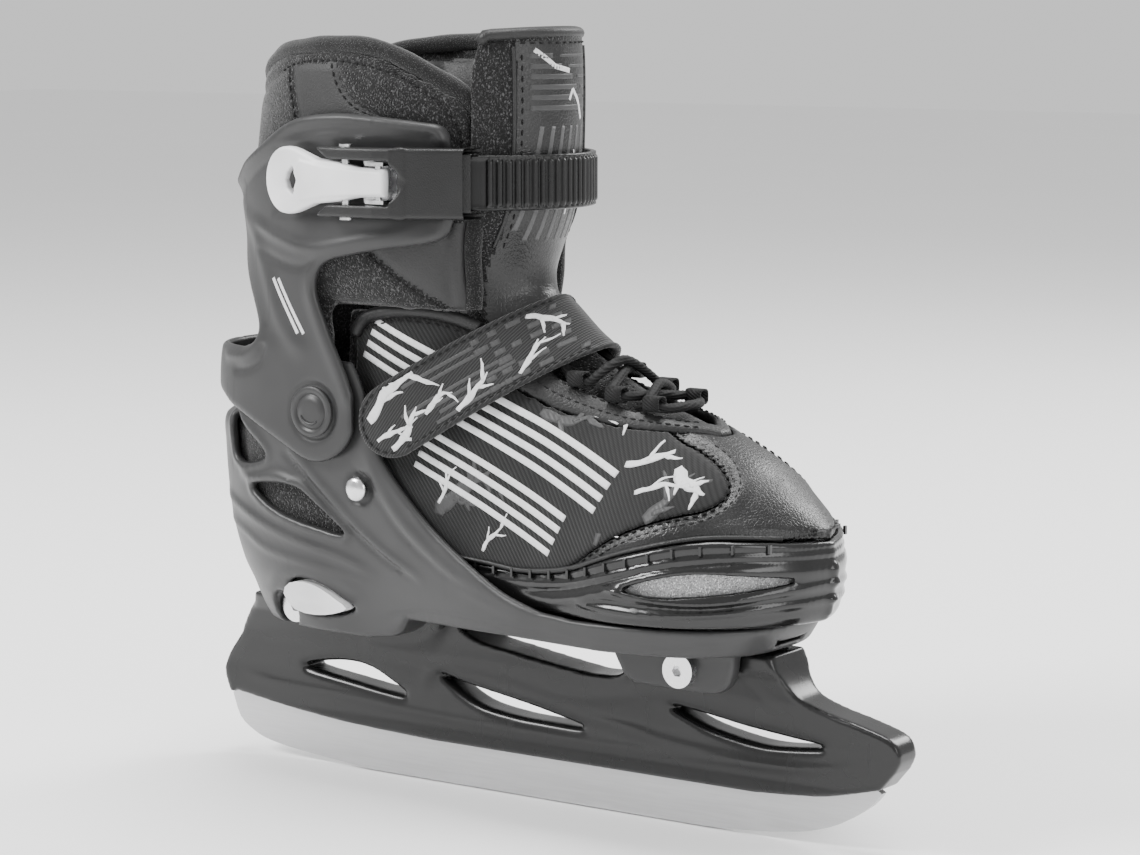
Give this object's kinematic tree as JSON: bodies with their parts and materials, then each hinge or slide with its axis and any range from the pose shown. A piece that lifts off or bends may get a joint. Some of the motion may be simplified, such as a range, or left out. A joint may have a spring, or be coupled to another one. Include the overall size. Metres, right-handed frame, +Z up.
{
  "type": "adjustable ice skate",
  "caption": "Hard-shell ice skate with hinged buckled cuff, sliding toe section, laced instep with strap, plastic holder and steel runner.",
  "frame": {"origin": "middle of the flat running edge of the steel runner", "axes": "+X towards the toe, -Y towards the outer side (the buckle side) and +Z up from the ice"},
  "size_m": [0.2785, 0.0984, 0.2618],
  "materials": {
    "runner_steel": "satin ground stainless steel",
    "bright_steel": "bright zinc-plated steel",
    "holder_black": "semi-gloss black moulded plastic",
    "shell_grey": "satin charcoal moulded plastic",
    "cuff_grey": "satin charcoal moulded plastic",
    "bumper_black": "gloss black rubbery plastic",
    "toe_leather": "matt black synthetic leather",
    "printed_textile": "black ribbed textile with white and grey print",
    "black_mesh": "black padded mesh",
    "lace_black": "black round woven cord",
    "liner_mesh": "speckled charcoal mesh",
    "tongue_print": "padded panel with geometric print",
    "strap_print": "printed synthetic leather",
    "white_plastic": "white gloss plastic",
    "buckle_black": "black moulded plastic, partly textured",
    "ladder_black": "black flexible plastic",
    "silver_mesh": "silver perforated mesh",
    "foam_black": "black foam board"
  },
  "bodies": {
    "boot": {"runner_blade": "runner_steel", "blade_holder": "holder_black", "front_bolt": "bright_steel", "front_nut": "bright_steel", "rear_bolt": "bright_steel", "rear_nut": "bright_steel", "boot_shell": "shell_grey", "cuff_pivot_bolts": "cuff_grey", "cuff_pivot_nuts": "bright_steel", "side_rivets": "bright_steel", "heel_liner": "liner_mesh", "footbed": "foam_black", "insole": "foam_black", "button_spring": "bright_steel"},
    "button": {"push_button": "white_plastic", "size_latch": "bright_steel"},
    "toe": {"toe_shell": "bumper_black", "size_rack": "shell_grey", "rack_screws": "bright_steel", "toe_vent_mesh": "silver_mesh", "toe_cap": "toe_leather", "vamp_panel_near": "printed_textile", "vamp_panel_far": "printed_textile", "eyestay": "toe_leather", "throat_mesh": "black_mesh", "lace_loops": "lace_black", "lace": "lace_black"},
    "leg_cuff": {"cuff": "cuff_grey", "liner_cuff": "liner_mesh", "tongue": "tongue_print", "buckle_base": "bright_steel", "base_rivets": "bright_steel", "base_pin": "bright_steel", "ladder_strap": "ladder_black", "ladder_screw": "bright_steel"},
    "lever": {"buckle_lever": "white_plastic", "frame_pin": "bright_steel"},
    "catch": {"buckle_frame": "buckle_black", "pawl_pin": "bright_steel"},
    "pawl": {"ratchet_pawl": "bright_steel"},
    "strap": {"instep_strap": "strap_print"}
  },
  "joints": [
    {"name": "toe_slide", "type": "slide", "parent": "boot", "child": "toe", "axis": [1, 0, 0], "range_m": [0, 0.02]},
    {"name": "cuff_hinge", "type": "hinge", "parent": "boot", "child": "leg_cuff", "pos_m": [-0.061, 0, 0.132], "axis": [0, 1, 0], "range_deg": [0, 12]},
    {"name": "button_press", "type": "slide", "parent": "boot", "child": "button", "axis": [0, 1, 0], "range_m": [0, 0.0025], "stiffness_N_per_m": 900, "springref_m": -0.0015},
    {"name": "lever_hinge", "type": "hinge", "parent": "leg_cuff", "child": "lever", "pos_m": [-0.027, -0.0486, 0.21], "axis": [0, 0, 1], "range_deg": [0, 80]},
    {"name": "catch_hinge", "type": "hinge", "parent": "lever", "child": "catch", "pos_m": [-0.04, -0.0494, 0.21], "axis": [0, 0, 1], "range_deg": [-68, 0]},
    {"name": "pawl_hinge", "type": "hinge", "parent": "catch", "child": "pawl", "pos_m": [-0.00699, -0.03897, 0.21], "axis": [0, 0, -1], "range_deg": [0, 12], "stiffness_Nm_per_rad": 0.004, "springref_deg": -17.19},
    {"name": "strap_peel", "type": "hinge", "parent": "toe", "child": "strap", "pos_m": [-0.0089, 0.0313, 0.1442], "axis": [-0.5478, 0, 0.8366], "range_deg": [0, 60]}
  ],
  "couplings": [
    {"joint": "catch_hinge", "follows": "lever_hinge", "ratio": -0.85}
  ]
}
